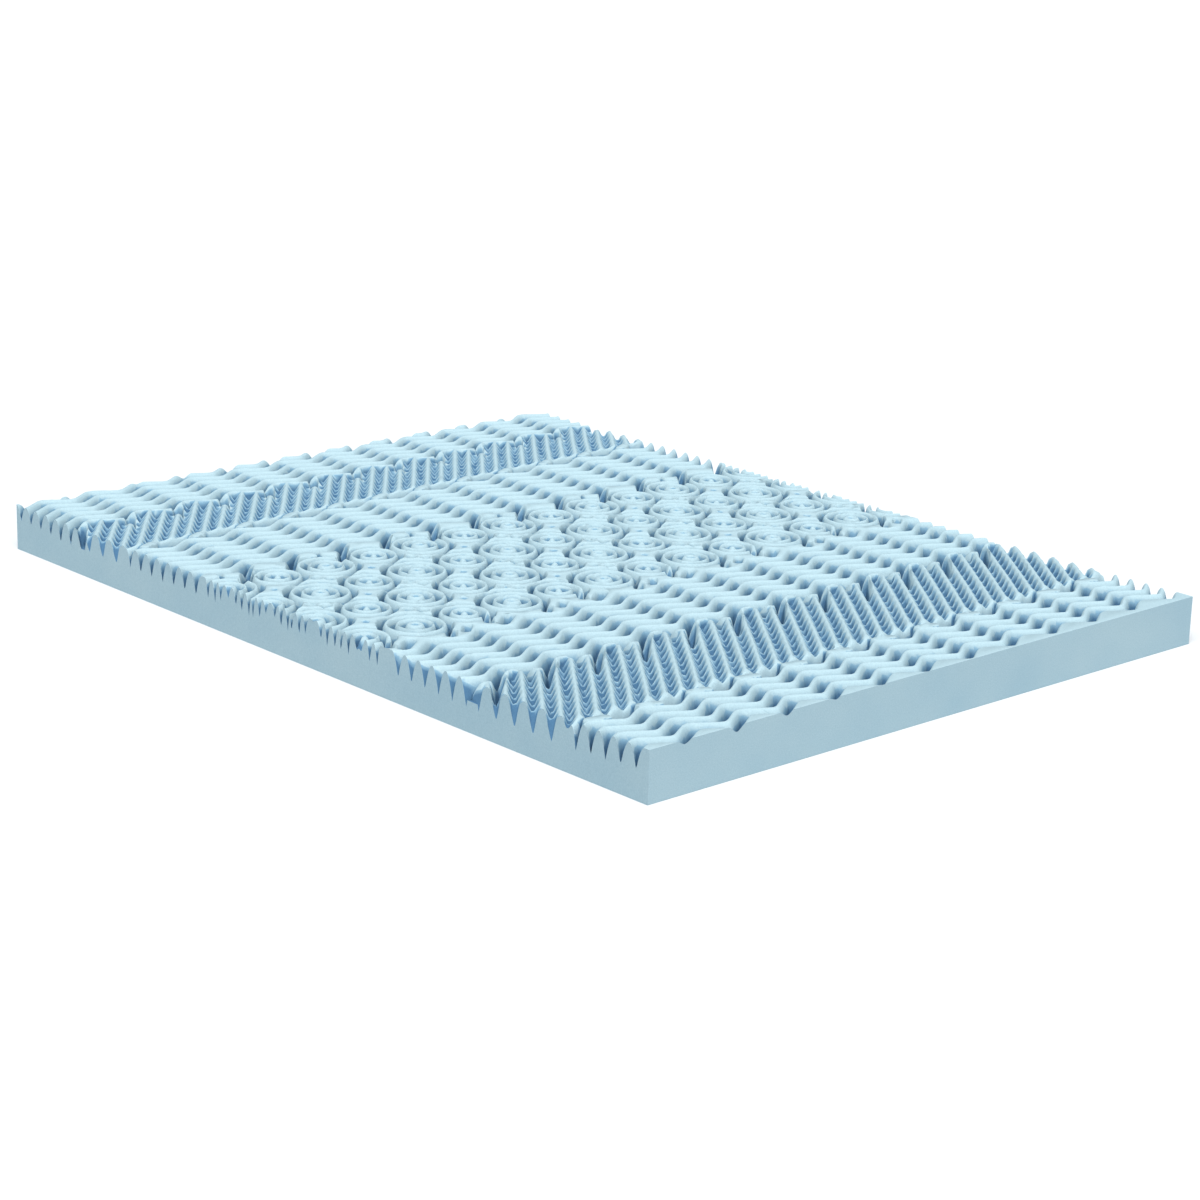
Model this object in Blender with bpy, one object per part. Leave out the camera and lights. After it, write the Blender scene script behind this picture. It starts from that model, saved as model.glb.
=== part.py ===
"""A queen-size foam mattress topper, 4 inches thick, contour-cut on its top face.

One slab of flexible foam. Its underside and its four sides are plain cuts. Its top is
cut in seven bands across the length: zigzag ridges, slanting combs with scalloped
grooves, and rings of ridges in the middle. The slab lies flat with its underside at z = 0,
its width along X, its length along Y, and its origin under the middle.
"""
import bpy
import numpy as np
from mathutils.geometry import delaunay_2d_cdt

# Driving dimensions of the slab, in millimetres.
WIDTH = 1524.0
LENGTH = 2032.0
THICKNESS = 101.6

# The pattern repeats twelve times across the width. Below, u is the distance from the left
# edge and v the distance from the near end once the rows' slope is taken out.
REPEATS = 12
REPEAT = WIDTH / REPEATS
ZIGZAG_SWAY = 16.5          # half the travel of a zigzag crest along the length
ZIGZAG_CORNER = 0.90        # 1 would give sharp zigzag corners, less rounds them
ROW_SLOPE = 0.0215          # the pattern rolls were set slightly out of square
ROW_SPREAD = 8e-6           # and the rows open out a little towards the right

# The mesh.
RIM_GAP = 3.0               # points inside the outline stay this far from it
PROFILE_STEP = 2.0          # how closely the upper edges of the sides are looked at
PROFILE_TOLERANCE = 3.2     # of the upper edges of the sides
SMALLEST_RING = 10.0        # rings under this radius are left to the point in their middle
SMALL_RING = 30.0           # rings under this radius have fewer points
SMALL_POINTS = 4
RING_POINTS = 6
COMB_RIDGES = range(-4, 38)  # every comb ridge that meets the slab, counted from the left edge
COMB_STEPS = 9              # half turns followed nearwards along a groove, and twice as many on
GROOVE_GAP = 2.0            # grooves are followed this far from the near end of a comb
LINE_SHOWN = 0.25           # a line is followed where the cut is this near to its own height
BASE_CORNERS = ((0.0, 0.0), (WIDTH, 0.0), (WIDTH, LENGTH), (0.0, LENGTH))

FOAM_BLUE = (0.49, 0.69, 0.78, 1.0)
MM = 0.001


# Bands of zigzag ridges. first is the mean place of the outermost crest along the length,
# shift is where a crest swings furthest to the far end, and start and end are the mean
# places of the band's own borders, which swing with it.
ZIGZAG_BANDS = (
    dict(first=-0.5, crests=5, pitch=39.7, shift=22.0, start=-60.0, end=178.0),
    dict(first=507.5, crests=5, pitch=40.1, shift=101.5, start=467.4, end=708.0),
    dict(first=1360.0, crests=6, pitch=39.8, shift=14.0, start=1320.2, end=1579.0),
    dict(first=1852.0, crests=5, pitch=39.4, shift=60.0, start=1812.6, end=2100.0),
)

# Bands of slanting ridges with scalloped grooves. peak is where a ridge meets the left edge.
# The far end of a band swings with the zigzags beyond it.
COMB_PITCH = 51.2
COMB_SCALLOP = 0.64         # how high the scallops in the grooves rise
COMB_BOW = 0.4              # how far the scallops bow towards the near end
COMB_WIDTH = 0.95           # less than 1 makes the ridges wider than the grooves
COMB_POWER = 0.6            # less than 1 makes the ridges rounder
COMB_END = 14.0             # width of the slope at either end of a comb band
COMB_FLARE = 32.0           # how far the grooves grow shallower towards the near end
COMB_BANDS = (
    dict(peak=278.0, start=186.0, end=466.0, shift=101.5),
    dict(peak=1667.0, start=1588.0, end=1811.0, shift=60.0),
)

# The middle band: rosettes cut one repeat apart into a level top. shift is how far a row
# stands off the repeat. The two kinds take turns. Each pair is a radius and a height: 1 is
# the top and 0 the floor. Small dimples stand in the corners between the rosettes.
ROSETTE_ROWS = (
    dict(v=1239.0, shift=-1.0),
    dict(v=1097.0, shift=0.0),
    dict(v=957.0, shift=8.0),
    dict(v=812.0, shift=14.0),
)
BUMP_ROSETTE = (
    (0.0, 1.0), (15.5, 0.2), (25.5, 1.0), (35.5, 0.0), (47.0, 1.0), (58.0, 0.0), (67.5, 1.0))
DIMPLE_ROSETTE = (
    (0.0, 0.2), (13.0, 1.0), (26.5, 0.1), (36.0, 1.0), (45.5, 0.0), (58.0, 1.0), (70.5, 0.0), (80.0, 1.0))
SHALLOW_DIMPLE = ((0.0, 0.5), (14.0, 1.0))
DEEP_DIMPLE = ((0.0, 0.0), (6.0, 0.0), (14.5, 1.0))
TWIN_REACH = (10.0, 11.0)

# Level strips and pits where two bands meet. Each is a strip along a line from (u0, v0) to
# (u1, v1), met again every so many repeats; half is half its width, fade the width of the
# slope beside it, and rise its own height.
MEETINGS = (
    dict(every=1, u0=28.0, v0=182.0, u1=62.0, v1=174.0, half=9.0, fade=9.0, rise=1.0),
    dict(every=1, u0=32.0, v0=1583.0, u1=62.0, v1=1597.0, half=8.0, fade=9.0, rise=1.0),
    dict(every=1, u0=0.0, v0=457.0, u1=2.0, v1=486.0, half=4.0, fade=15.0, rise=0.15),
    dict(every=1, u0=138.0, v0=420.0, u1=200.0, v1=478.0, half=3.0, fade=12.0, rise=0.0),
    dict(every=1, u0=122.0, v0=1762.0, u1=150.0, v1=1806.0, half=4.0, fade=14.0, rise=0.0),
    dict(every=2, u0=29.0, v0=711.0, u1=68.0, v1=738.0, half=4.0, fade=12.0, rise=0.0),
    dict(every=2, u0=12.0, v0=733.0, u1=42.0, v1=778.0, half=3.0, fade=12.0, rise=0.1),
    dict(every=2, u0=151.0, v0=714.0, u1=172.0, v1=738.0, half=3.0, fade=12.0, rise=0.0),
    dict(every=2, u0=192.0, v0=719.0, u1=216.0, v1=740.0, half=3.0, fade=11.0, rise=0.1),
    dict(every=2, u0=58.0, v0=1262.0, u1=122.0, v1=1336.0, half=3.0, fade=12.0, rise=0.0),
    dict(every=2, u0=188.0, v0=1276.0, u1=240.0, v1=1334.0, half=3.0, fade=12.0, rise=0.0),
    dict(every=2, u0=34.0, v0=1304.0, u1=40.0, v1=1326.0, half=2.0, fade=9.0, rise=0.35),
)

# Between these places along the length the top is level where nothing is cut into it.
LEVEL_BANDS = ((440.0, 500.0), (680.0, 1350.0), (1790.0, 1840.0))

# How low the cut goes, along the length.
FLOOR_LEVELS = (
    (-16.0, 70.0), (24.0, 56.0), (104.0, 51.0), (190.0, 47.0), (456.0, 45.0), (491.0, 46.0),
    (690.0, 50.0), (735.0, 58.0), (1330.0, 56.0), (1591.0, 56.0), (1650.0, 58.5),
    (1790.0, 58.0), (1855.0, 53.0), (1900.0, 61.0), (2010.0, 67.0),
)

# The rows are not quite straight. Each line is a place along the length and how far its
# rows stray towards the far end at the places across in BEND_PLACES.
BEND_PLACES = (0.0, 90.0, 230.0, 400.0, 760.0, 1120.0, 1524.0)
ROW_BENDS = (
    (90.0, (6.0, 6.0, 0.0, 0.0, 0.0, 0.0, 0.0)),
    (300.0, (0.0, 0.0, 0.0, 0.0, 0.0, 0.0, 0.0)),
    (590.0, (0.0, 0.0, 2.0, 7.0, 8.0, 8.0, 8.0)),
    (800.0, (0.0, 0.0, 0.0, 0.0, 0.0, 0.0, 0.0)),
    (1300.0, (0.0, 0.0, 0.0, 0.0, 0.0, 0.0, 0.0)),
    (1460.0, (0.0, 0.0, 2.0, 6.0, 10.0, 5.0, 0.0)),
    (1700.0, (0.0, 0.0, 0.0, 0.0, 0.0, 0.0, 0.0)),
    (1930.0, (0.0, 0.0, 0.0, 0.0, -5.0, -9.0, -9.0)),
)


def wave(turns):
    """A rounded zigzag: 1 at whole turns and -1 half way between them."""
    return np.arcsin(ZIGZAG_CORNER * np.cos(2 * np.pi * turns)) / np.arcsin(ZIGZAG_CORNER)


def floor_level(v):
    """Height of the valleys at a place along the length."""
    places, levels = zip(*FLOOR_LEVELS)
    return np.interp(v, places, levels)


def row_bend(u, v):
    """How far the rows stray towards the far end."""
    places, lines = zip(*ROW_BENDS)
    strays = np.array([np.interp(u, BEND_PLACES, line) for line in lines])
    step = np.clip(np.interp(v, places, np.arange(len(places))), 0, len(places) - 1.001)
    lower = step.astype(int)
    share = step - lower
    near = np.take_along_axis(strays, lower[None], axis=0)[0]
    far = np.take_along_axis(strays, lower[None] + 1, axis=0)[0]
    return near + (far - near) * share


def zigzag_rise(band, u, v):
    """Ridges that run across the slab in a zigzag, with level foam before the nearest one."""
    turns = (v - band["first"] - ZIGZAG_SWAY * wave((u - band["shift"]) / REPEAT)) / band["pitch"]
    if band["start"] < 0:
        turns = np.maximum(turns, 0)
    return 1 - 2 * np.abs(turns - np.round(turns))


def comb_rise(band, u, v):
    """Slanting ridges, three in each repeat, with a row of scallops in each groove."""
    column = u / (REPEAT / 3)
    row = (v - band["peak"]) / COMB_PITCH
    ridge = ((1 + np.cos(2 * np.pi * (column - row))) / 2) ** COMB_WIDTH
    turns = column + row - COMB_BOW * ridge
    scallop = 1 - 2 * np.abs(turns - np.round(turns))
    rise = 1 - ((1 - ridge) * (1 - COMB_SCALLOP * scallop)) ** COMB_POWER
    rise = rise + (1 - rise) * np.clip(1 - (v - band["start"]) / COMB_FLARE, 0, 1)
    foot = np.clip((v - band["start"]) / COMB_END, 0, 1)
    head = np.clip(1 - (border(band["end"], band["shift"], u) - v) / COMB_END, 0, 1)
    return np.maximum(rise * foot, head)


def rosette_places():
    """The centre and the rings of every rosette, with those cut by the slab's edges."""
    places = []
    for index, row in enumerate(ROSETTE_ROWS):
        for column in range(REPEATS + 1):
            rings = BUMP_ROSETTE if (index + column) % 2 else DIMPLE_ROSETTE
            places.append((column * REPEAT + row["shift"], row["v"], rings))
    return places


def corner_places():
    """The small dimples between the rosettes."""
    places = []
    for index, (far, near) in enumerate(zip(ROSETTE_ROWS[:-1], ROSETTE_ROWS[1:])):
        for column in range(REPEATS):
            u = (column + 0.5) * REPEAT + (far["shift"] + near["shift"]) / 2
            v = (far["v"] + near["v"]) / 2
            if (index + column) % 2:
                places.append((u - TWIN_REACH[0], v + TWIN_REACH[1], DEEP_DIMPLE))
                places.append((u + TWIN_REACH[0], v - TWIN_REACH[1], DEEP_DIMPLE))
            else:
                places.append((u, v, SHALLOW_DIMPLE))
    return places


def ring_cuts(u, v, rise):
    """The level top with every rosette and small dimple cut into it."""
    for centre_u, centre_v, rings in rosette_places() + corner_places():
        radii, levels = zip(*rings)
        away = np.hypot(u - centre_u, v - centre_v)
        rise = np.minimum(rise, np.interp(away, radii, levels))
    return rise


def strip_share(strip, u, v):
    """0 within a strip, 1 beyond the slope beside it."""
    run_u, run_v = strip["u1"] - strip["u0"], strip["v1"] - strip["v0"]
    period = strip["every"] * REPEAT
    middle = (strip["u0"] + strip["u1"]) / 2
    local_u = (u - middle + period / 2) % period - period / 2 + middle - strip["u0"]
    local_v = v - strip["v0"]
    share = np.clip((local_u * run_u + local_v * run_v) / (run_u * run_u + run_v * run_v), 0, 1)
    away = np.hypot(local_u - share * run_u, local_v - share * run_v)
    return np.clip((away - strip["half"]) / strip["fade"], 0, 1)


def border(mean, shift, u):
    """A border between two bands, which swings with the zigzag."""
    return mean + ZIGZAG_SWAY * wave((u - shift) / REPEAT)


def cut_rise(u, v):
    """How far the cut stands above its floor: 1 at the top and 0 on the floor."""
    rise = np.zeros(np.shape(v))
    for near, far in LEVEL_BANDS:
        rise = np.where((v > near) & (v <= far), 1, rise)
    rise = ring_cuts(u, v, rise)
    for band in COMB_BANDS:
        far = border(band["end"], band["shift"], u)
        rise = np.where((v > band["start"]) & (v <= far), comb_rise(band, u, v), rise)
    for band in ZIGZAG_BANDS:
        near = border(band["start"], band["shift"], u)
        far = border(band["end"], band["shift"], u)
        rise = np.where((v > near) & (v <= far), zigzag_rise(band, u, v), rise)
    for strip in MEETINGS:
        away = strip_share(strip, u, v)
        if strip["rise"] == 1:
            rise = np.maximum(rise, 1 - away)
        else:
            rise = np.minimum(rise, strip["rise"] + away)
    return rise


def cut_height(across, along):
    """Height of the cut top, in millimetres, from the left edge and the near end."""
    v = (along - ROW_SLOPE * across) / (1 + ROW_SPREAD * across)
    v = v - row_bend(across, v)
    level = floor_level(v)
    return THICKNESS - (THICKNESS - level) * (1 - cut_rise(across, v)) ** 2


def from_pattern(u, v):
    """Pattern places to distances from the left edge and from the near end."""
    return u, (v + row_bend(u, v)) * (1 + ROW_SPREAD * u) + ROW_SLOPE * u


def zigzag_lines():
    """The crest and valley lines of the zigzag bands, from turn to turn."""
    lines = []
    for band in ZIGZAG_BANDS:
        columns = [band["shift"] + REPEAT * half / 2 for half in range(-2, 2 * REPEATS + 2)]
        columns = [u for u in columns if 2 * RIM_GAP < u < WIDTH - 2 * RIM_GAP]
        columns = np.array([RIM_GAP + 1] + columns + [WIDTH - RIM_GAP - 1])
        for step in range(-2, 2 * band["crests"] + 1):
            mean = band["first"] + step * band["pitch"] / 2
            if band["start"] - 1 < mean < band["end"] + 1:
                lines.append((1 - step % 2, columns, border(mean, band["shift"], columns)))
    return lines


def ring_lines():
    """The crests, grooves and outer edges of the rosettes and small dimples."""
    lines = []
    for centre_u, centre_v, rings in rosette_places() + corner_places():
        for radius, rise in rings[1:]:
            if radius > SMALLEST_RING:
                count = SMALL_POINTS if radius < SMALL_RING else RING_POINTS
                turns = 2 * np.pi * np.arange(count + 1) / count
                u, v = centre_u + radius * np.cos(turns), centre_v + radius * np.sin(turns)
                lines.append((rise, u, v))
    return lines


def strip_lines():
    """The middle line and the outer edge of every strip where two bands meet."""
    lines = []
    for strip in MEETINGS:
        run = np.array([strip["u1"] - strip["u0"], strip["v1"] - strip["v0"]])
        ahead = run / np.hypot(*run) * (strip["half"] + strip["fade"])
        aside = np.array([-ahead[1], ahead[0]])
        for repeat in range(-strip["every"], REPEATS, strip["every"]):
            start = np.array([strip["u0"] + repeat * REPEAT, strip["v0"]])
            end = start + run
            middle = (start + end) / 2
            edge = [start - ahead, middle + aside, end + ahead, middle - aside, start - ahead]
            lines.append((strip["rise"], *np.transpose([start, end])))
            lines.append((1 if strip["rise"] < 1 else 0, *np.transpose(edge)))
    return lines


def comb_ridge(band, ridge):
    """The top line of one ridge of a comb band, as far as it runs between the sides."""
    sides = np.array([RIM_GAP + 1, WIDTH - RIM_GAP - 1])
    reach = band["peak"] + (sides / (REPEAT / 3) - ridge) * COMB_PITCH
    near = max(band["start"] + COMB_END, reach[0])
    far = min(band["end"] - COMB_END / 2, reach[1])
    v = np.linspace(near, max(near, far), 3)
    return 1, (ridge + (v - band["peak"]) / COMB_PITCH) * REPEAT / 3, v


def comb_groove(band, ridge):
    """The bottom line of the groove beside a ridge, with every scallop and the pits between."""
    turns = ridge + np.arange(-COMB_STEPS, 2 * COMB_STEPS) / 2
    u = (turns + ridge + 0.5) / 2 * REPEAT / 3
    v = band["peak"] + (turns - ridge - 0.5) / 2 * COMB_PITCH
    far = border(band["end"], band["shift"], u)
    inside = (v > band["start"] + GROOVE_GAP) & (v < far - COMB_END / 2)
    rise = np.where(turns == np.round(turns), 1 - (1 - COMB_SCALLOP) ** COMB_POWER, 0)
    return rise[inside], u[inside], v[inside]


def comb_lines():
    """The ridges and the grooves of the combs."""
    lines = []
    for band in COMB_BANDS:
        for ridge in COMB_RIDGES:
            lines.append(comb_ridge(band, ridge))
            lines.append(comb_groove(band, ridge))
    return lines


def centre_points():
    """The middles of the rosettes and small dimples."""
    return [(rings[0][1], np.array([u]), np.array([v]))
            for u, v, rings in rosette_places() + corner_places()]


def shown_parts(rise, u, v):
    """The parts of a line that are clear of the rim and not cut away by a deeper form."""
    across, along = from_pattern(u, v)
    shown = np.abs(cut_rise(u, v) - rise) < LINE_SHOWN
    shown &= (RIM_GAP < across) & (across < WIDTH - RIM_GAP)
    shown &= (RIM_GAP < along) & (along < LENGTH - RIM_GAP)
    parts = [[]]
    for place, kept in zip(zip(across.tolist(), along.tolist()), shown):
        if kept:
            parts[-1].append(place)
        else:
            parts.append([])
    return [part for part in parts if part]


def simplified(profile, tolerance):
    """The fewest points of a profile that stay within a tolerance of it."""
    first, last = np.array(profile[0]), np.array(profile[-1])
    if len(profile) < 3:
        return profile
    run = last - first
    inner = np.array(profile[1:-1]) - first
    share = inner @ run / (run @ run)
    offset = np.linalg.norm(inner - share[:, None] * run, axis=1)
    worst = int(np.argmax(offset)) + 1
    if offset[worst - 1] < tolerance:
        return [profile[0], profile[-1]]
    return simplified(profile[:worst + 1], tolerance)[:-1] + simplified(profile[worst:], tolerance)


def outline():
    """The slab's outline, with a point wherever the upper edge of a side bends."""
    corners = np.array(BASE_CORNERS + BASE_CORNERS[:1])
    points = []
    for start, end in zip(corners[:-1], corners[1:]):
        reach = np.linalg.norm(end - start)
        away = np.linspace(0, reach, int(reach / PROFILE_STEP) + 1)
        plan = start + (end - start) * (away / reach)[:, None]
        heights = cut_height(plan[:, 0], plan[:, 1])
        profile = simplified(list(zip(away, heights)), PROFILE_TOLERANCE)
        points += [tuple(start + (end - start) * (step / reach)) for step, height in profile[:-1]]
    return points


def plan_of_surface():
    """Points of the cut surface in plan and the edges to follow."""
    points = outline()
    rim = len(points)
    edges = [(index, (index + 1) % rim) for index in range(rim)]
    for line in zigzag_lines() + ring_lines() + strip_lines() + comb_lines() + centre_points():
        for part in shown_parts(*line):
            edges += [(len(points) + step, len(points) + step + 1) for step in range(len(part) - 1)]
            points += part
    return points, edges


def clear_scene():
    """Remove every object that the file starts with."""
    for item in list(bpy.data.objects):
        bpy.data.objects.remove(item, do_unlink=True)


def foam_material():
    """Matt light blue foam."""
    material = bpy.data.materials.new("foam")
    material.use_nodes = True
    shader = material.node_tree.nodes["Principled BSDF"]
    shader.inputs["Base Color"].default_value = FOAM_BLUE
    shader.inputs["Roughness"].default_value = 0.9
    shader.inputs["Metallic"].default_value = 0.0
    return material


def rim_run(plan, axis, level):
    """The surface's points on one side, in order along it."""
    on_side = np.flatnonzero(np.abs(plan[:, axis] - level) < 1e-3)
    return on_side[np.argsort(plan[on_side, 1 - axis])].tolist()


def make_topper():
    """The whole slab as one closed solid."""
    points, edges = plan_of_surface()
    flat = delaunay_2d_cdt(points, edges, [], 0, 1e-3)
    plan = np.array([tuple(place) for place in flat[0]])
    heights = cut_height(plan[:, 0], plan[:, 1])
    top = [(x, y, z) for (x, y), z in zip(plan.tolist(), heights.tolist())]
    corner = {(x, y): len(top) + index for index, (x, y) in enumerate(BASE_CORNERS)}
    faces = [tuple(face) for face in flat[2]]
    faces.append([corner[place] for place in reversed(BASE_CORNERS)])
    faces.append(rim_run(plan, 0, 0.0) + [corner[0, LENGTH], corner[0, 0]])
    faces.append(rim_run(plan, 0, WIDTH)[::-1] + [corner[WIDTH, 0], corner[WIDTH, LENGTH]])
    faces.append(rim_run(plan, 1, 0.0)[::-1] + [corner[0, 0], corner[WIDTH, 0]])
    faces.append(rim_run(plan, 1, LENGTH) + [corner[WIDTH, LENGTH], corner[0, LENGTH]])
    solid = np.array(top + [(x, y, 0.0) for x, y in BASE_CORNERS])
    solid[:, 0] -= WIDTH / 2
    solid[:, 1] -= LENGTH / 2
    mesh = bpy.data.meshes.new("foam_slab")
    mesh.from_pydata((solid * MM).tolist(), [], faces)
    mesh.materials.append(foam_material())
    topper = bpy.data.objects.new("foam_slab", mesh)
    bpy.context.collection.objects.link(topper)


clear_scene()
make_topper()
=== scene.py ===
# %% [markdown]
# # A contour-cut foam mattress topper
# The topper lies flat with its cut face up. It is one slab of soft foam, about four inches thick:
# the underside and the four sides are plain saw cuts, and the top has been cut into ridges,
# combs and rings that let air through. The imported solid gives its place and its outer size.
# This script gives the same slab a finer cut face and the finish of real foam. A denser solid
# would do as well, but the file that a machine reads is better left light.

# %% Load the frame
import bpy
import bmesh
import numpy as np
from mathutils import Matrix, Vector


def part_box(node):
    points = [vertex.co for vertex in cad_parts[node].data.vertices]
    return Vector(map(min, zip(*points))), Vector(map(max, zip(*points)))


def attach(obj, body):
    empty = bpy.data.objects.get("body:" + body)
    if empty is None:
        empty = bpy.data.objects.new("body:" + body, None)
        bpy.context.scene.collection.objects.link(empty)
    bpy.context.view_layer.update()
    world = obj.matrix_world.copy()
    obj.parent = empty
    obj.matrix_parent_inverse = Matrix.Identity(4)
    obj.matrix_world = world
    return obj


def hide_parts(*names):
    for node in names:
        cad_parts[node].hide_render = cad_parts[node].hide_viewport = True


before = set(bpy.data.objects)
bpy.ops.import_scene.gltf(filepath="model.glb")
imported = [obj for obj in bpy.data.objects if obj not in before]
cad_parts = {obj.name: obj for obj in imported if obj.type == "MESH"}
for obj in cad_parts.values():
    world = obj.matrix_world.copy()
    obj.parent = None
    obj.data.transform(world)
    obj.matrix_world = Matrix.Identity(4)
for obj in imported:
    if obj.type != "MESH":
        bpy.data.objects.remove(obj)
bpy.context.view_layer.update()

# %% [markdown]
# ## Sizes
# The slab's width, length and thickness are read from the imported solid, so the new face can't
# drift from it. The cut pattern is worked out in millimetres, with u measured from the left
# edge and v from the near end, because that is how a foam cutter's drawing would be dimensioned.
# The rollers that shape the cut repeat twelve times across the width.

# %% Sizes of the slab and of its pattern
MM = 0.001
low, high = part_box("foam_slab")
WIDTH = (high[0] - low[0]) / MM
LENGTH = (high[1] - low[1]) / MM
THICKNESS = (high[2] - low[2]) / MM
REPEATS = 12
REPEAT = WIDTH / REPEATS
print("slab", round(WIDTH), "x", round(LENGTH), "x", round(THICKNESS, 1), "mm, repeat", round(REPEAT, 1))

# %% [markdown]
# ## The zigzag ridges
# A contour cutter squeezes the foam between two shaped rollers while a blade splits it, so the
# whole face is one height for each place in plan. Every form below gives a rise: 1 where the
# foam is left at full height and 0 where the cut reaches its floor. The zigzag bands come first.
# A crest swings to and fro as it crosses the slab, and the neighbouring crests swing with it.
# A plain sine would bend too softly at the corners and a straight zigzag would be too sharp,
# so the wave is the arcsine of a cosine, which lies between the two.

# %% Zigzag bands
ZIGZAG_SWAY = 16.5          # how far a crest swings to either side of its mean place
ZIGZAG_CORNER = 0.90        # 1 would give sharp corners, and less rounds them

# Bands of zigzag ridges. first is the mean place of the outermost crest along the length,
# shift is where a crest swings furthest to the far end, and start and end are the mean
# places of the band's own borders, which swing with it.
ZIGZAG_BANDS = (
    dict(first=-0.5, crests=5, pitch=39.7, shift=22.0, start=-60.0, end=178.0),
    dict(first=507.5, crests=5, pitch=40.1, shift=101.5, start=467.4, end=708.0),
    dict(first=1360.0, crests=6, pitch=39.8, shift=14.0, start=1320.2, end=1579.0),
    dict(first=1852.0, crests=5, pitch=39.4, shift=60.0, start=1812.6, end=2100.0),
)

def wave(turns):
    """A rounded zigzag: 1 at whole turns and -1 half way between them."""
    return np.arcsin(ZIGZAG_CORNER * np.cos(2 * np.pi * turns)) / np.arcsin(ZIGZAG_CORNER)

def border(mean, shift, u):
    """A border between two bands, which swings with the zigzag."""
    return mean + ZIGZAG_SWAY * wave((u - shift) / REPEAT)

def zigzag_rise(band, u, v):
    """Ridges that run across the slab in a zigzag, with level foam before the nearest one."""
    turns = (v - band["first"] - ZIGZAG_SWAY * wave((u - band["shift"]) / REPEAT)) / band["pitch"]
    if band["start"] < 0:
        turns = np.maximum(turns, 0)
    return 1 - 2 * np.abs(turns - np.round(turns))

print("zigzag bands:", len(ZIGZAG_BANDS), "with", sum(band["crests"] for band in ZIGZAG_BANDS), "crests")

# %% [markdown]
# ## The combs
# Between the zigzags lie bands of slanting ridges, three to a repeat. The grooves between them
# are not plain: a row of scallops crosses each one, with a pit either side of every scallop.
# The ridges follow one slant and the scallops the other, so both come from the same two counts,
# one across and one along. Their difference stays the same along a ridge and their sum along a
# row of scallops. The scallops bow towards the near end and the grooves grow shallower there,
# so the ridges flare out into the trough before them.

# %% Comb bands
# Bands of slanting ridges with scalloped grooves. peak is where a ridge meets the left edge.
# The far end of a band swings with the zigzags beyond it.
COMB_PITCH = 51.2           # from ridge to ridge along the length
COMB_SCALLOP = 0.64         # how high the scallops in the grooves rise
COMB_BOW = 0.4              # how far the scallops bow towards the near end
COMB_WIDTH = 0.95           # less than 1 makes the ridges wider than the grooves
COMB_POWER = 0.6            # less than 1 makes the ridges rounder
COMB_END = 14.0             # width of the slope at either end of a comb band
COMB_FLARE = 32.0           # how far the grooves grow shallower towards the near end
COMB_BANDS = (
    dict(peak=278.0, start=186.0, end=466.0, shift=101.5),
    dict(peak=1667.0, start=1588.0, end=1811.0, shift=60.0),
)

def comb_rise(band, u, v):
    """Slanting ridges, three in each repeat, with a row of scallops in each groove."""
    column = u / (REPEAT / 3)
    row = (v - band["peak"]) / COMB_PITCH
    ridge = ((1 + np.cos(2 * np.pi * (column - row))) / 2) ** COMB_WIDTH
    turns = column + row - COMB_BOW * ridge
    scallop = 1 - 2 * np.abs(turns - np.round(turns))
    rise = 1 - ((1 - ridge) * (1 - COMB_SCALLOP * scallop)) ** COMB_POWER
    rise = rise + (1 - rise) * np.clip(1 - (v - band["start"]) / COMB_FLARE, 0, 1)
    foot = np.clip((v - band["start"]) / COMB_END, 0, 1)
    head = np.clip(1 - (border(band["end"], band["shift"], u) - v) / COMB_END, 0, 1)
    return np.maximum(rise * foot, head)

print("comb ridges at", round(REPEAT / 3, 1), "mm across, scallops at half of", COMB_PITCH, "mm")

# %% [markdown]
# ## The rosettes
# The middle of the slab carries rings of ridges, where a sleeper's hips press hardest. Two kinds
# take turns: one has a bump in its middle and the other a dimple. A short table of radii and
# levels says all there is to say about each, and reading it at the distance from a centre turns
# it into rings, much as a lathe tool's profile turns into a bowl. Small dimples fill the corners.

# %% Rosettes and small dimples
# The middle band: rosettes cut one repeat apart into a level top. shift is how far a row
# stands off the repeat. The two kinds take turns. Each pair is a radius and a height: 1 is
# the top and 0 the floor. Small dimples stand in the corners between the rosettes.
ROSETTE_ROWS = (
    dict(v=1239.0, shift=-1.0),
    dict(v=1097.0, shift=0.0),
    dict(v=957.0, shift=8.0),
    dict(v=812.0, shift=14.0),
)
BUMP_ROSETTE = (
    (0.0, 1.0), (15.5, 0.2), (25.5, 1.0), (35.5, 0.0), (47.0, 1.0), (58.0, 0.0), (67.5, 1.0))
DIMPLE_ROSETTE = (
    (0.0, 0.2), (13.0, 1.0), (26.5, 0.1), (36.0, 1.0), (45.5, 0.0), (58.0, 1.0), (70.5, 0.0), (80.0, 1.0))
SHALLOW_DIMPLE = ((0.0, 0.5), (14.0, 1.0))
DEEP_DIMPLE = ((0.0, 0.0), (6.0, 0.0), (14.5, 1.0))
TWIN_REACH = (10.0, 11.0)   # how far two deep dimples stand off a corner, across and along

def rosette_places():
    """The centre and the rings of every rosette, with those cut by the slab's edges."""
    places = []
    for index, row in enumerate(ROSETTE_ROWS):
        for column in range(REPEATS + 1):
            rings = BUMP_ROSETTE if (index + column) % 2 else DIMPLE_ROSETTE
            places.append((column * REPEAT + row["shift"], row["v"], rings))
    return places


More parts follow.
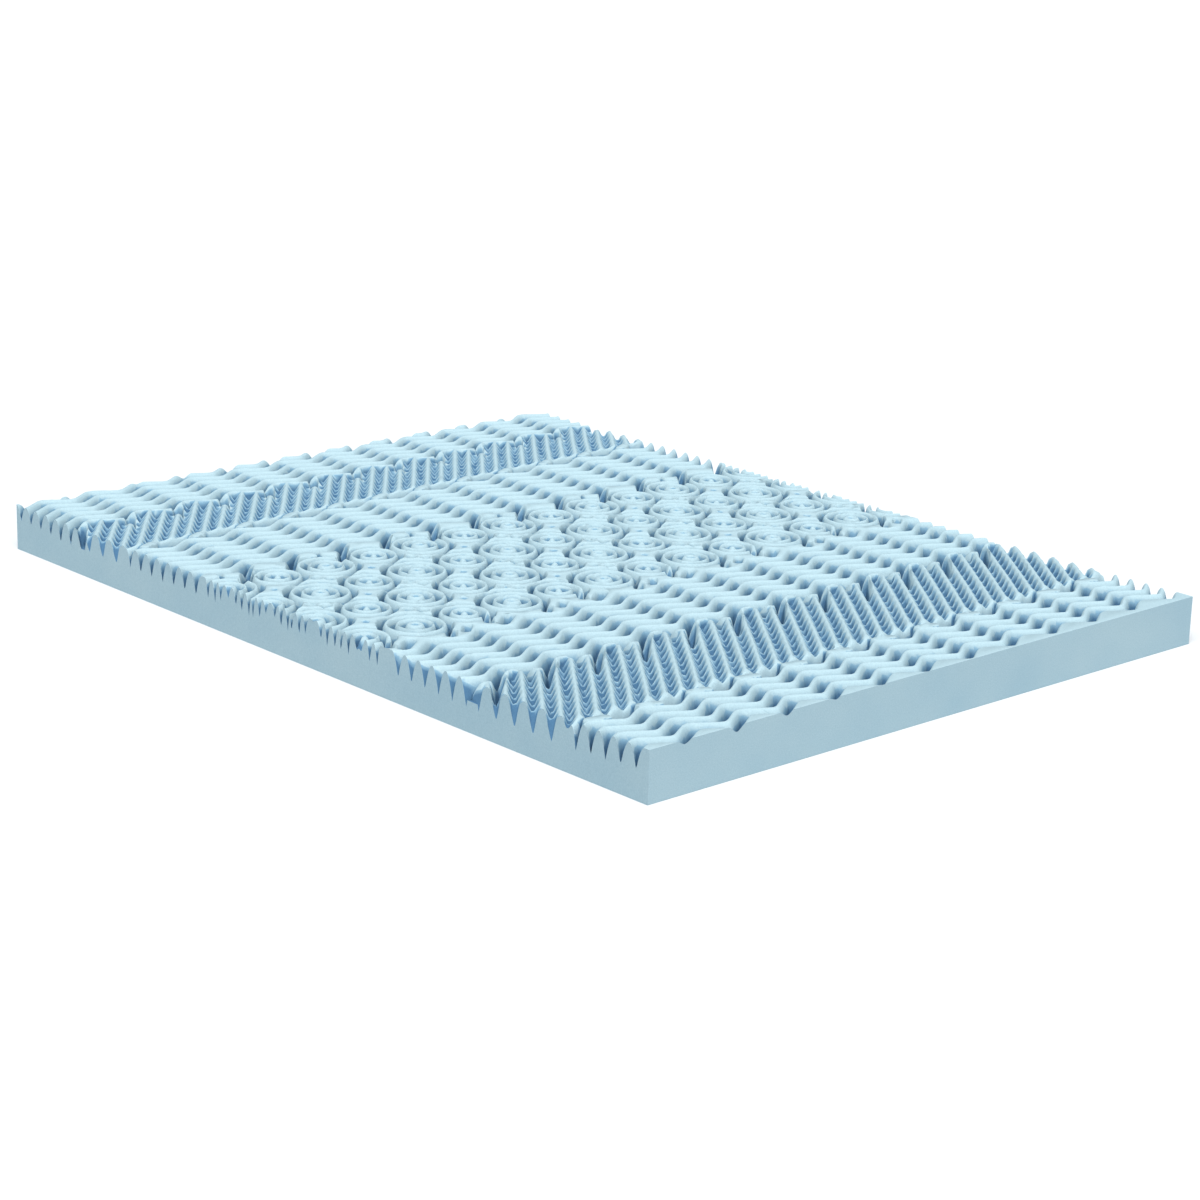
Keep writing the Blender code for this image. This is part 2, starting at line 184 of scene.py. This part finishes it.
def corner_places():
    """The small dimples between the rosettes."""
    places = []
    for index, (far, near) in enumerate(zip(ROSETTE_ROWS[:-1], ROSETTE_ROWS[1:])):
        for column in range(REPEATS):
            u = (column + 0.5) * REPEAT + (far["shift"] + near["shift"]) / 2
            v = (far["v"] + near["v"]) / 2
            if (index + column) % 2:
                places.append((u - TWIN_REACH[0], v + TWIN_REACH[1], DEEP_DIMPLE))
                places.append((u + TWIN_REACH[0], v - TWIN_REACH[1], DEEP_DIMPLE))
            else:
                places.append((u, v, SHALLOW_DIMPLE))
    return places


def ring_cuts(u, v, rise):
    """The level top with every rosette and small dimple cut into it."""
    for centre_u, centre_v, rings in rosette_places() + corner_places():
        radii, levels = zip(*rings)
        away = np.hypot(u - centre_u, v - centre_v)
        rise = np.minimum(rise, np.interp(away, radii, levels))
    return rise

print("rosettes:", len(rosette_places()), "small dimples:", len(corner_places()))

# %% [markdown]
# ## Where two bands meet
# The rollers are built from rings of pins, and where one ring's pattern ends the foam is left
# with short level strips and deep pits. Each is a strip along a line, repeated across the slab.
# The strip's sides slope, which keeps the face free of steps that no blade could leave.

# %% Strips and pits
# Level strips and pits where two bands meet. Each is a strip along a line from (u0, v0) to
# (u1, v1), met again every so many repeats; half is half its width, fade the width of the
# slope beside it, and rise its own height.
MEETINGS = (
    dict(every=1, u0=28.0, v0=182.0, u1=62.0, v1=174.0, half=9.0, fade=9.0, rise=1.0),
    dict(every=1, u0=32.0, v0=1583.0, u1=62.0, v1=1597.0, half=8.0, fade=9.0, rise=1.0),
    dict(every=1, u0=0.0, v0=457.0, u1=2.0, v1=486.0, half=4.0, fade=15.0, rise=0.15),
    dict(every=1, u0=138.0, v0=420.0, u1=200.0, v1=478.0, half=3.0, fade=12.0, rise=0.0),
    dict(every=1, u0=122.0, v0=1762.0, u1=150.0, v1=1806.0, half=4.0, fade=14.0, rise=0.0),
    dict(every=2, u0=29.0, v0=711.0, u1=68.0, v1=738.0, half=4.0, fade=12.0, rise=0.0),
    dict(every=2, u0=12.0, v0=733.0, u1=42.0, v1=778.0, half=3.0, fade=12.0, rise=0.1),
    dict(every=2, u0=151.0, v0=714.0, u1=172.0, v1=738.0, half=3.0, fade=12.0, rise=0.0),
    dict(every=2, u0=192.0, v0=719.0, u1=216.0, v1=740.0, half=3.0, fade=11.0, rise=0.1),
    dict(every=2, u0=58.0, v0=1262.0, u1=122.0, v1=1336.0, half=3.0, fade=12.0, rise=0.0),
    dict(every=2, u0=188.0, v0=1276.0, u1=240.0, v1=1334.0, half=3.0, fade=12.0, rise=0.0),
    dict(every=2, u0=34.0, v0=1304.0, u1=40.0, v1=1326.0, half=2.0, fade=9.0, rise=0.35),
)

def strip_share(strip, u, v):
    """0 within a strip, 1 beyond the slope beside it."""
    run_u, run_v = strip["u1"] - strip["u0"], strip["v1"] - strip["v0"]
    period = strip["every"] * REPEAT
    middle = (strip["u0"] + strip["u1"]) / 2
    local_u = (u - middle + period / 2) % period - period / 2 + middle - strip["u0"]
    local_v = v - strip["v0"]
    share = np.clip((local_u * run_u + local_v * run_v) / (run_u * run_u + run_v * run_v), 0, 1)
    away = np.hypot(local_u - share * run_u, local_v - share * run_v)
    return np.clip((away - strip["half"]) / strip["fade"], 0, 1)

print("strips and pits in a repeat:", len(MEETINGS))

# %% [markdown]
# ## Levels and bends
# The cut is not equally deep everywhere, and soft foam never leaves the rollers quite square.
# The floor of the cut is read from a table along the length, and a second table bends the rows
# by a few millimetres. Both are drawn from place to place with straight lines, which is enough
# because the changes are slow.

# %% Floor, level bands and bends
ROW_SLOPE = 0.0215          # how far the rows climb towards the far end, for each unit across
ROW_SPREAD = 8e-6           # how much the rows open out, for each millimetre across

# Between these places along the length the top is level where nothing is cut into it.
LEVEL_BANDS = ((440.0, 500.0), (680.0, 1350.0), (1790.0, 1840.0))

# How low the cut goes, along the length.
FLOOR_LEVELS = (
    (-16.0, 70.0), (24.0, 56.0), (104.0, 51.0), (190.0, 47.0), (456.0, 45.0), (491.0, 46.0),
    (690.0, 50.0), (735.0, 58.0), (1330.0, 56.0), (1591.0, 56.0), (1650.0, 58.5),
    (1790.0, 58.0), (1855.0, 53.0), (1900.0, 61.0), (2010.0, 67.0),
)

# The rows are not quite straight. Each line is a place along the length and how far its
# rows stray towards the far end at the places across in BEND_PLACES.
BEND_PLACES = (0.0, 90.0, 230.0, 400.0, 760.0, 1120.0, 1524.0)
ROW_BENDS = (
    (90.0, (6.0, 6.0, 0.0, 0.0, 0.0, 0.0, 0.0)),
    (300.0, (0.0, 0.0, 0.0, 0.0, 0.0, 0.0, 0.0)),
    (590.0, (0.0, 0.0, 2.0, 7.0, 8.0, 8.0, 8.0)),
    (800.0, (0.0, 0.0, 0.0, 0.0, 0.0, 0.0, 0.0)),
    (1300.0, (0.0, 0.0, 0.0, 0.0, 0.0, 0.0, 0.0)),
    (1460.0, (0.0, 0.0, 2.0, 6.0, 10.0, 5.0, 0.0)),
    (1700.0, (0.0, 0.0, 0.0, 0.0, 0.0, 0.0, 0.0)),
    (1930.0, (0.0, 0.0, 0.0, 0.0, -5.0, -9.0, -9.0)),
)

def floor_level(v):
    """Height of the valleys at a place along the length."""
    places, levels = zip(*FLOOR_LEVELS)
    return np.interp(v, places, levels)

def row_bend(u, v):
    """How far the rows stray towards the far end."""
    places, lines = zip(*ROW_BENDS)
    strays = np.array([np.interp(u, BEND_PLACES, line) for line in lines])
    # The step stays just short of the last line, so that there is always a line beyond it.
    step = np.clip(np.interp(v, places, np.arange(len(places))), 0, len(places) - 1.001)
    lower = step.astype(int)
    share = step - lower
    near = np.take_along_axis(strays, lower[None], axis=0)[0]
    far = np.take_along_axis(strays, lower[None] + 1, axis=0)[0]
    return near + (far - near) * share

floors = [level for place, level in FLOOR_LEVELS]
print("floor of the cut from", min(floors), "to", max(floors), "mm")

# %% [markdown]
# ## One height for each place
# The forms are now put together in the order in which they cut one another: the level top, the
# rings in it, the combs, the zigzags, and last the strips and pits. The rise is then squared
# from the top down, which rounds the crests and leaves the valleys narrow, as a blade does in
# foam that springs back.

# %% The height of the cut face
def cut_rise(u, v):
    """How far the cut stands above its floor: 1 at the top and 0 on the floor."""
    rise = np.zeros(np.shape(v))
    for near, far in LEVEL_BANDS:
        rise = np.where((v > near) & (v <= far), 1, rise)
    rise = ring_cuts(u, v, rise)
    for band in COMB_BANDS:
        far = border(band["end"], band["shift"], u)
        rise = np.where((v > band["start"]) & (v <= far), comb_rise(band, u, v), rise)
    for band in ZIGZAG_BANDS:
        near = border(band["start"], band["shift"], u)
        far = border(band["end"], band["shift"], u)
        rise = np.where((v > near) & (v <= far), zigzag_rise(band, u, v), rise)
    for strip in MEETINGS:
        away = strip_share(strip, u, v)
        if strip["rise"] == 1:
            rise = np.maximum(rise, 1 - away)
        else:
            rise = np.minimum(rise, strip["rise"] + away)
    return rise

def cut_height(across, along):
    """Height of the cut top, in millimetres, from the left edge and the near end."""
    v = (along - ROW_SLOPE * across) / (1 + ROW_SPREAD * across)
    v = v - row_bend(across, v)
    level = floor_level(v)
    return THICKNESS - (THICKNESS - level) * (1 - cut_rise(across, v)) ** 2

sample = cut_height(np.array([WIDTH / 2] * 3), np.array([100.0, LENGTH / 2, LENGTH - 100.0]))
print("height on the middle line, near, middle and far:", np.round(sample, 1))

# %% [markdown]
# ## A fine grid
# The face could be carved ridge by ridge, but moving the points of an even grid to a worked-out
# height is quicker and keeps every repeat alike. The grid is as fine as the sharpest scallops
# need, and a later step takes away the points that the flatter parts can spare.

# %% The grid of points
GRID_STEP = 2.7


def deselect_all():
    """Nothing stays selected for the next operator to act on."""
    for item in bpy.context.selected_objects:
        item.select_set(False)


deselect_all()
columns = round(WIDTH / GRID_STEP)
rows = round(LENGTH / GRID_STEP)
bpy.ops.mesh.primitive_grid_add(x_subdivisions=columns, y_subdivisions=rows, size=1)
topper = bpy.context.object
topper.name = "topper"
points = np.empty(len(topper.data.vertices) * 3, dtype=np.float32)
topper.data.vertices.foreach_get("co", points)
points = points.reshape(-1, 3).astype(float)
across = (points[:, 0] + 0.5) * WIDTH
along = (points[:, 1] + 0.5) * LENGTH
heights = cut_height(across, along)
points = np.stack([across - WIDTH / 2, along - LENGTH / 2, heights], axis=-1) * MM
topper.data.vertices.foreach_set("co", points.astype(np.float32).reshape(-1))
topper.data.update()
print("grid of", columns, "x", rows, "squares")
print("heights from", round(heights.min(), 1), "to", round(heights.max(), 1), "mm")

# %% [markdown]
# ## Painted shade by depth
# The cut face is painted darker inside a groove. This is painted shade, for where little light gets in
# and what does has already been tinted by the walls. Each point stores its depth as a share of the
# deepest cut.
# The points of a crest stand out from their neighbours, so the difference from a slightly softened copy
# of the face takes some of the depth off them again and paints the crests pale, as a painted highlight.

# %% Painted shade stored on the points
# Painted shade: a point that stands out this far loses all its painted darkening and stays pale.
CREST_RELIEF = 5.0          # a point that stands out this far, in millimetres, keeps no depth
SOFTENINGS = 3              # how many times the face is softened to find what stands out


def softened(field, times):
    """A field with every value drawn towards its neighbours."""
    for step in range(times):
        padded = np.pad(field, 1, mode="edge")
        field = (padded[:-2, 1:-1] + padded[2:, 1:-1] + padded[1:-1, :-2] + padded[1:-1, 2:]) / 4
    return field


field = heights.reshape(rows + 1, columns + 1)
relief = (field - softened(field, SOFTENINGS)).reshape(-1)
depth = (THICKNESS - heights) / (THICKNESS - min(floors))
# painted shade: darker for deeper points, with a painted highlight that pales crests standing out from
# their neighbours
shade = np.clip(depth - relief / CREST_RELIEF, 0, 1)
store = topper.data.attributes.new("painted_shade_depth", "FLOAT", "POINT")
store.data.foreach_set("value", shade.astype(np.float32))
print("mean depth share:", round(float(shade.mean()), 2))

# %% [markdown]
# ## Thinning
# An even grid spends as many points on a smooth slope as on a sharp crest. A Decimate modifier
# joins the points that change the form least. The points of the rim are kept out of it with a
# vertex group, so that the sides that come next start from a straight line.

# %% Thinning the grid
TRIANGLES = 190000
RIM = 1.0                   # points this close to the outline, in millimetres, are on the rim
on_rim = (across < RIM) | (across > WIDTH - RIM) | (along < RIM) | (along > LENGTH - RIM)
rim_group = topper.vertex_groups.new(name="rim")
rim_group.add(np.flatnonzero(~on_rim).tolist(), 1.0, "REPLACE")
topper.data.calc_loop_triangles()
thinning = topper.modifiers.new("thinning", "DECIMATE")
thinning.ratio = TRIANGLES / len(topper.data.loop_triangles)
thinning.vertex_group = "rim"
bpy.ops.object.modifier_apply(modifier=thinning.name)
print("thinned to", len(topper.data.polygons), "faces")

# %% [markdown]
# ## The sides and the underside
# The slab is sawn out of a larger block, so its sides stand straight below the rim. The rim's
# edges are extruded, the new points dropped to the floor, and the open bottom filled with one
# face. The rim is marked sharp first, because a smooth rim would shade like a worn corner.

# %% Closing the slab
SMOOTH_ANGLE = 60           # steeper bends than this, in degrees, are shaded as edges
bpy.ops.object.mode_set(mode="EDIT")
bpy.ops.mesh.select_mode(type="EDGE")
bpy.ops.mesh.select_all(action="DESELECT")
bpy.ops.mesh.select_non_manifold(extend=False)
bpy.ops.mesh.mark_sharp()
bpy.ops.mesh.extrude_edges_move()
slab_edit = bmesh.from_edit_mesh(topper.data)
for vertex in slab_edit.verts:
    if vertex.select:
        vertex.co.z = 0.0
bmesh.update_edit_mesh(topper.data)
bpy.ops.mesh.edge_face_add()
bpy.ops.mesh.select_all(action="SELECT")
bpy.ops.mesh.normals_make_consistent(inside=False)
bpy.ops.object.mode_set(mode="OBJECT")
bpy.ops.object.shade_smooth_by_angle(angle=np.radians(SMOOTH_ANGLE), keep_sharp_edges=True)
print("closed slab:", len(topper.data.polygons), "faces")

# %% [markdown]
# ## Saw-cut faces
# The sawn sides take a colour of their own, a little uneven and darker than the cut top's crests,
# and carry none of the top's painted light and shade. Each face stores 1 if it lies in one of
# the slab's outer planes, so that one material can hold both finishes. Two materials would also
# do, but then a change of colour would have to be made twice.

# %% Which faces are saw cuts
SIDE_REACH = 0.01           # a side face's middle is this close to the side, in millimetres


def face_values(name):
    """Three numbers for each face of the slab: its normal or its middle."""
    values = np.empty(len(topper.data.polygons) * 3, dtype=np.float32)
    topper.data.polygons.foreach_get(name, values)
    return values.reshape(-1, 3)


off_centre = np.abs(face_values("center")) / MM
on_side = (off_centre[:, 0] > WIDTH / 2 - SIDE_REACH) | (off_centre[:, 1] > LENGTH / 2 - SIDE_REACH)
faces_down = face_values("normal")[:, 2] < -0.5
saw_cut = on_side | faces_down
side_store = topper.data.attributes.new("saw_cut", "FLOAT", "FACE")
side_store.data.foreach_set("value", saw_cut.astype(np.float32))
print("saw-cut faces:", int(saw_cut.sum()))

# %% [markdown]
# ## Building blocks of the finish
# Four short helpers make the nodes that the finish is built from: a noise in object
# coordinates, a value stored on the mesh, a colour ramp and a blend of two colours. Each returns
# the socket to link on, so the finish itself reads like a recipe.

# %% Node helpers
foam = bpy.data.materials.new("foam_finish")
foam.use_nodes = True
nodes = foam.node_tree.nodes
links = foam.node_tree.links
where = nodes.new("ShaderNodeTexCoord")


def noise(scale, detail):
    """Noise fixed to the slab itself."""
    texture = nodes.new("ShaderNodeTexNoise")
    texture.inputs["Scale"].default_value = scale
    texture.inputs["Detail"].default_value = detail
    links.new(where.outputs["Object"], texture.inputs["Vector"])
    return texture.outputs["Fac"]


def stored(name):
    """A value stored on the mesh."""
    reader = nodes.new("ShaderNodeAttribute")
    reader.attribute_name = name
    return reader.outputs["Fac"]


def ramp(value, stops):
    """A value turned into a colour."""
    node = nodes.new("ShaderNodeValToRGB")
    while len(node.color_ramp.elements) < len(stops):
        node.color_ramp.elements.new(0.5)
    for element, (place, tint) in zip(node.color_ramp.elements, stops):
        element.position = place
        element.color = tint
    links.new(value, node.inputs["Fac"])
    return node.outputs["Color"]


def blend(kind, share, first, second):
    """Two colours put together."""
    node = nodes.new("ShaderNodeMix")
    node.data_type = "RGBA"
    node.blend_type = kind
    if isinstance(share, float):
        node.inputs["Factor"].default_value = share
    else:
        links.new(share, node.inputs["Factor"])
    links.new(first, node.inputs["A"])
    links.new(second, node.inputs["B"])
    return node.outputs["Result"]


print("helpers ready for", foam.name)

# %% [markdown]
# ## Foam
# The foam is a pale, matt blue. The cut face is painted with light and shade by its stored depth:
# painted light on the crests, painted shade on the walls and deep blue painted shade in the pits,
# and the sawn sides stay even. A fine noise gives the open cells of the foam: it darkens the colour
# a little and, as a bump, breaks up the light. The cells are under a millimetre across, far too
# small to model.

# %% The foam finish
# Lit and shaded copies of the foam's blue: painted light on the crests, painted shade on the walls and
# deeper painted shade in the pits.
PAINTED_LIGHT_CREST_BLUE = (0.440, 0.580, 0.620, 1)
PAINTED_SHADE_WALL_BLUE = (0.240, 0.400, 0.510, 1)
PAINTED_SHADE_PIT_BLUE = (0.085, 0.190, 0.310, 1)
SAWN_BLUE = (0.290, 0.412, 0.468, 1)
SAWN_PALE_BLUE = (0.330, 0.445, 0.488, 1)
CELL_SHADE = (0.86, 0.88, 0.90, 1)
NO_SHADE = (1, 1, 1, 1)

shader = nodes["Principled BSDF"]
shader.inputs["Roughness"].default_value = 0.9
shader.inputs["Specular IOR Level"].default_value = 0.15
# The cut face's painted light and shade, read from the stored depth.
cut = ramp(stored("painted_shade_depth"), ((0.01, PAINTED_LIGHT_CREST_BLUE), (0.13, PAINTED_SHADE_WALL_BLUE), (0.50, PAINTED_SHADE_PIT_BLUE)))
side = ramp(noise(scale=6.0, detail=4.0), ((0.3, SAWN_BLUE), (0.7, SAWN_PALE_BLUE)))
colour = blend("MIX", stored("saw_cut"), cut, side)
grain = ramp(noise(scale=380.0, detail=3.0), ((0.3, CELL_SHADE), (0.7, NO_SHADE)))
colour = blend("MULTIPLY", 1.0, colour, grain)
links.new(colour, shader.inputs["Base Color"])
bump = nodes.new("ShaderNodeBump")
bump.inputs["Strength"].default_value = 0.35
bump.inputs["Distance"].default_value = 1.0 * MM
links.new(noise(scale=420.0, detail=3.0), bump.inputs["Height"])
links.new(bump.outputs["Normal"], shader.inputs["Normal"])
topper.data.materials.append(foam)
print("foam finish with", len(nodes), "nodes")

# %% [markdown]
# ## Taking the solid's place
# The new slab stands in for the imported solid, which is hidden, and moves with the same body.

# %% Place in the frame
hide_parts("foam_slab")
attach(topper, "root")
print("topper rides on root with", len(topper.data.polygons), "faces")

# %% [markdown]
# ## Studio floor
# A mattress topper is often pictured on plain white with hardly any shadow. Stronger lamps would
# turn a sheet of paper white, but they would bleach the foam as well. So the floor is a pale
# sheet that glows faintly, and under the same soft lamps it turns white and the foam doesn't.

# %% Floor
FLOOR_SIZE = 40.0           # metres: far enough to run out of the picture
FLOOR_DROP = 0.5 * MM       # keeps the floor clear of the slab's underside
deselect_all()
bpy.ops.mesh.primitive_plane_add(size=FLOOR_SIZE, location=(0, 0, -FLOOR_DROP))
floor = bpy.context.object
floor.name = "studio_floor"
paper = bpy.data.materials.new("studio_paper")
paper.use_nodes = True
paper_shader = paper.node_tree.nodes["Principled BSDF"]
paper_shader.inputs["Base Color"].default_value = (0.62, 0.62, 0.62, 1)
paper_shader.inputs["Roughness"].default_value = 0.9
paper_shader.inputs["Emission Color"].default_value = (1, 1, 1, 1)
paper_shader.inputs["Emission Strength"].default_value = 0.2
floor.data.materials.append(paper)
print("floor", floor.name)

# %% [markdown]
# ## Light
# Three lights make a soft studio. The surroundings give a cool, even light that fills the
# grooves with blue. A broad lamp high on the left draws the crests, and a faint one from the
# front lifts the near side. The broad lamp stands for a large softbox, which is why its edge is
# so wide: a small lamp would throw hard shadows into the grooves.

# %% Studio light
scene = bpy.context.scene
scene.view_settings.view_transform = "Standard"
world = bpy.data.worlds.new("studio_world")
world.use_nodes = True
world.node_tree.nodes["Background"].inputs["Color"].default_value = (0.78, 0.90, 1.0, 1)
world.node_tree.nodes["Background"].inputs["Strength"].default_value = 0.52
scene.world = world


def broad_lamp(name, energy, width, towards):
    """A distant lamp, width degrees wide in the sky."""
    lamp_data = bpy.data.lights.new(name, "SUN")
    lamp_data.energy = energy
    lamp_data.angle = np.radians(width)
    lamp = bpy.data.objects.new(name, lamp_data)
    bpy.context.collection.objects.link(lamp)
    lamp.rotation_euler = Vector(towards).to_track_quat("-Z", "Y").to_euler()


broad_lamp("soft_ceiling", energy=3.4, width=45, towards=(0.48, 0.40, -1.0))
broad_lamp("near_fill", energy=0.9, width=60, towards=(-0.1, 1.0, -0.2))

# %% [markdown]
# ## Camera
# The camera looks over the near corner from a little above, with a long lens, so that the slab
# runs from the lower right of the picture to the upper left and its far end stays in view.

# %% Camera
LENS = 91.23                # millimetres, on a 36 mm sensor
HEADING = -42.66            # degrees from straight along the slab
TILT = 90 - 16.72           # degrees from straight down
ROLL = 1.61                 # degrees
CAMERA_PLACE = (-4.178, -4.587, 1.853)

camera_data = bpy.data.cameras.new("camera")
camera_data.sensor_width = 36
camera_data.lens = LENS
camera = bpy.data.objects.new("camera", camera_data)
bpy.context.collection.objects.link(camera)
turn = Matrix.Rotation(np.radians(HEADING), 4, "Z")
tip = Matrix.Rotation(np.radians(TILT), 4, "X")
roll = Matrix.Rotation(np.radians(ROLL), 4, "Z")
camera.matrix_world = Matrix.Translation(CAMERA_PLACE) @ turn @ tip @ roll
scene.camera = camera
print("lens", camera_data.lens, "mm")
